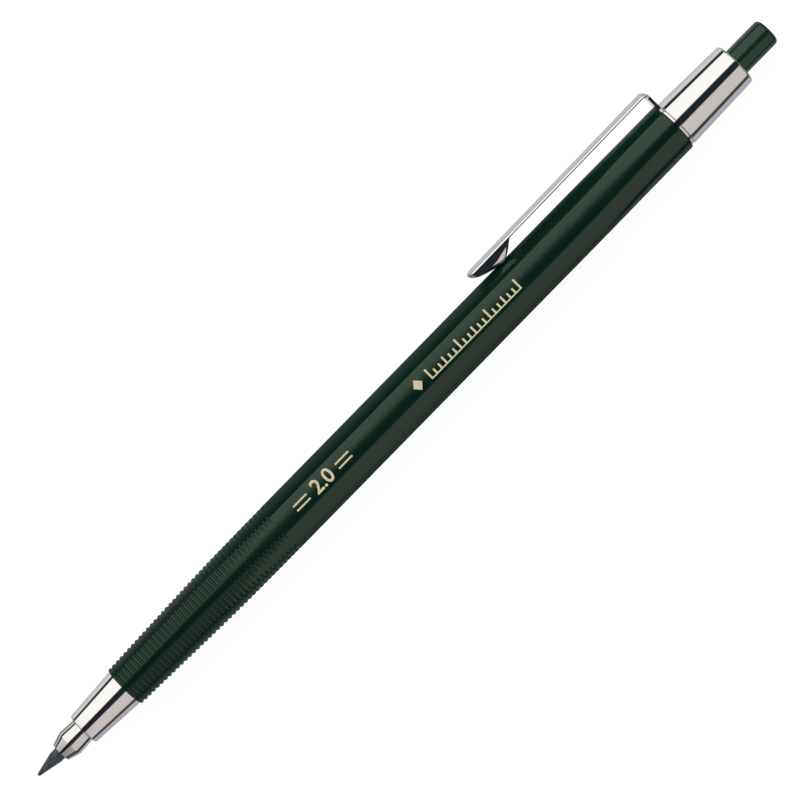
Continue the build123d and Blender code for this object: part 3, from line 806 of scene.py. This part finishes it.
# turned half round, so the digits read along -X
digits.matrix_world = Matrix(((-1, 0, 0, -SIZE_MARK * MM), (0, -1, 0, 0.0),
                              (0, 0, 1, TOP_Z - 0.019 * MM), (0, 0, 0, 1)))
bpy.context.view_layer.update()
depsgraph = bpy.context.evaluated_depsgraph_get()
digit_mesh = bpy.data.meshes.new_from_object(digits.evaluated_get(depsgraph))
digit_mesh.transform(digits.matrix_world)
bpy.data.objects.remove(digits)
digit_mesh.materials.clear()
digit_mesh.materials.append(M_FOIL)
fit(add_object("lead_size_mark", digit_mesh), "holder")

# ------------------------------------------------------------------ inner CAD nodes
INNER = {"lead_tube": M_BRASS, "front_insert": M_BRASS, "tube_guide": M_BRASS,
         "front_washer": M_BRASS, "spring_collar": M_BRASS, "rear_insert": M_BRASS,
         "button_core": M_BRASS, "clutch_body": M_JAW, "retaining_ring": M_STEEL,
         "return_spring": M_STEEL}
for node, mat in INNER.items():
    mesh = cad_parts[node].data
    mesh.materials.clear()
    mesh.materials.append(mat)
    smooth(mesh, sharp=30)

# ------------------------------------------------------------------ return spring
TURNS, WIRE_R, COIL_R = 12, 0.17, 1.93
TURN_STEPS, WIRE_SIDES = 36, 10
spring_length = SPRING_FRONT - SPRING_REAR
rings = []
for i in range(TURNS * TURN_STEPS + 1):
    t = i / (TURNS * TURN_STEPS)
    x = SPRING_REAR + WIRE_R + (spring_length - 2 * WIRE_R) * t
    ring = []
    for k in range(WIRE_SIDES):
        b = math.radians(360 / WIRE_SIDES * k)
        ring.append(point(x + WIRE_R * math.sin(b), COIL_R + WIRE_R * math.cos(b),
                          360 * TURNS * t))
    rings.append(ring)
coil = make("return_spring_coil", *skin(rings, caps=True), M_STEEL, sharp=60)
fit(coil, "holder", "return_spring")
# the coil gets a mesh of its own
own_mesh(coil)

# ------------------------------------------------------------------ surrounding light
TILT = math.radians(5.3)          # the camera leans from +Z towards +Y
to_cam = Vector((0, math.sin(TILT), math.cos(TILT)))
clip_up = Vector((0, -math.cos(TILT), math.sin(TILT)))

DARK, LINE = (0.0155, 0.019, 0.026), (0.014, 0.016, 0.02)
CREAM, PALE = (1.05, 1.045, 1.01), (0.69, 0.69, 0.74)
# light round the pencil: (degrees from the camera towards the clip side, colour)
BANDS = [
    (-180, PALE), (-160, (0.50, 0.51, 0.56)), (-148, (0.36, 0.37, 0.42)),
    (-128, (0.44, 0.45, 0.51)), (-110, (0.44, 0.44, 0.46)), (-104, (0.05, 0.05, 0.055)),
    (-90, (0.05, 0.05, 0.05)), (-83, (0.60, 0.56, 0.54)), (-50, (0.61, 0.57, 0.555)),
    (-23, (0.615, 0.575, 0.555)), (-18.5, DARK), (9.5, DARK), (14, CREAM), (60, CREAM),
    (80, (1.04, 1.035, 1.0)), (85.5, LINE), (97, LINE), (105, (0.60, 0.60, 0.64)),
    (112, (0.72, 0.72, 0.75)), (128, (0.56, 0.57, 0.62)), (148, (0.52, 0.53, 0.575)),
    (165, (0.62, 0.625, 0.66)), (180, PALE)]
# dimming towards both ends of the pencil: (size of the direction's x, factor)
ENDS = [(0, (1, 1, 1)), (0.30, (1, 1, 1)), (0.42, (0.67, 0.665, 0.67)),
        (0.62, (0.64, 0.64, 0.65)), (0.82, (0.34, 0.34, 0.36)), (1.0, (0.34, 0.34, 0.36))]


def build_world():
    world = bpy.data.worlds.new("studio")
    scene.world = world
    world.use_nodes = True
    world.node_tree.nodes.clear()
    g = Graph(world.node_tree)
    coords = g.node("ShaderNodeTexCoord")

    def along(direction):
        dot = g.node("ShaderNodeVectorMath", operation="DOT_PRODUCT")
        g.feed(dot.inputs[0], coords.outputs["Generated"])
        dot.inputs[1].default_value = direction
        return dot.outputs["Value"]

    angle = g.math("ARCTAN2", along(clip_up), along(to_cam))
    turn = g.math("MULTIPLY_ADD", angle, 1 / (2 * math.pi), 0.5)
    bands = g.ramp(turn, [(0.5 + deg / 360, colour) for deg, colour in BANDS])
    ends = g.ramp(g.math("ABSOLUTE", along(Vector((1, 0, 0)))), ENDS)
    lit = g.node("ShaderNodeBackground")
    g.feed(lit.inputs["Color"], g.mix(1.0, bands, ends, blend="MULTIPLY"))
    # the camera itself sees plain white
    plain = g.node("ShaderNodeBackground")
    plain.inputs["Color"].default_value = (1.0, 1.0, 1.0, 1)
    rays = g.node("ShaderNodeLightPath")
    pick = g.node("ShaderNodeMixShader")
    g.feed(pick.inputs["Fac"], rays.outputs["Is Camera Ray"])
    g.feed(pick.inputs[1], lit.outputs[0])
    g.feed(pick.inputs[2], plain.outputs[0])
    out = g.node("ShaderNodeOutputWorld")
    g.feed(out.inputs["Surface"], pick.outputs[0])


build_world()

# ------------------------------------------------------------------ floor
FLOOR_HALF, FLOOR_Z = 2.0, -0.00002    # metres
FLOOR_CELLS = 24


def floor_paper():
    """White paper that glows for the camera and is invisible in reflections."""
    m = Mat("floor_paper")
    shade = m.ramp(m.noise(scale=0.02, detail=2),
                   [(0.3, (0.86, 0.86, 0.87)), (0.7, (0.88, 0.88, 0.885))])
    rays = m.node("ShaderNodeLightPath")
    seen = rays.outputs["Is Camera Ray"]
    shade = m.mix(m.math("MULTIPLY", seen, 0.70), shade, (0.0, 0.0, 0.0))
    m.set(color=shade, rough=0.9, spec=0.0,
          normal=m.bump(m.noise(scale=2.0, detail=2), depth=0.01))
    glow = m.node("ShaderNodeEmission")
    glow.inputs["Color"].default_value = (1, 1, 1, 1)
    m.feed(glow.inputs["Strength"], m.math("MULTIPLY", seen, 0.93))
    add = m.node("ShaderNodeAddShader")
    m.feed(add.inputs[0], m.bsdf.outputs[0])
    m.feed(add.inputs[1], glow.outputs[0])
    clear = m.node("ShaderNodeBsdfTransparent")
    pick = m.node("ShaderNodeMixShader")
    m.feed(pick.inputs["Fac"], rays.outputs["Is Glossy Ray"])
    m.feed(pick.inputs[1], add.outputs[0])
    m.feed(pick.inputs[2], clear.outputs[0])
    m.feed(m.tree.nodes["Material Output"].inputs["Surface"], pick.outputs[0])
    return m.material


places = [-FLOOR_HALF + 2 * FLOOR_HALF * i / FLOOR_CELLS for i in range(FLOOR_CELLS + 1)]
row = FLOOR_CELLS + 1
floor_mesh = bpy.data.meshes.new("floor")
floor_mesh.from_pydata(
    [(x, y, FLOOR_Z) for y in places for x in places], [],
    [(j * row + i, j * row + i + 1, (j + 1) * row + i + 1, (j + 1) * row + i)
     for j in range(FLOOR_CELLS) for i in range(FLOOR_CELLS)])
floor = add_object("floor", floor_mesh)
floor_mesh.materials.append(floor_paper())

scene.view_settings.view_transform = "Standard"
scene.view_settings.look = "None"
scene.view_settings.exposure = 0.0
scene.view_settings.gamma = 1.0

# ------------------------------------------------------------------ camera
ROLL = math.radians(45.6)         # sets the pencil diagonally in the view
DISTANCE = 500.0
cam_data = bpy.data.cameras.new("camera")
cam_data.sensor_width = 36.0
cam_data.lens = 156.375
cam_data.clip_start = 0.01
cam_data.clip_end = 20
cam = add_object("camera", cam_data)
back = Vector((-1, 0, 0))
right = back * math.cos(ROLL) - clip_up * math.sin(ROLL)
up = back * math.sin(ROLL) + clip_up * math.cos(ROLL)
target = Vector((0.0, -0.6 * MM, AXIS_Z * MM))
place = target + to_cam * (DISTANCE * MM)
cam.matrix_world = Matrix((*zip(right, up, to_cam, place), (0, 0, 0, 1)))
scene.camera = cam
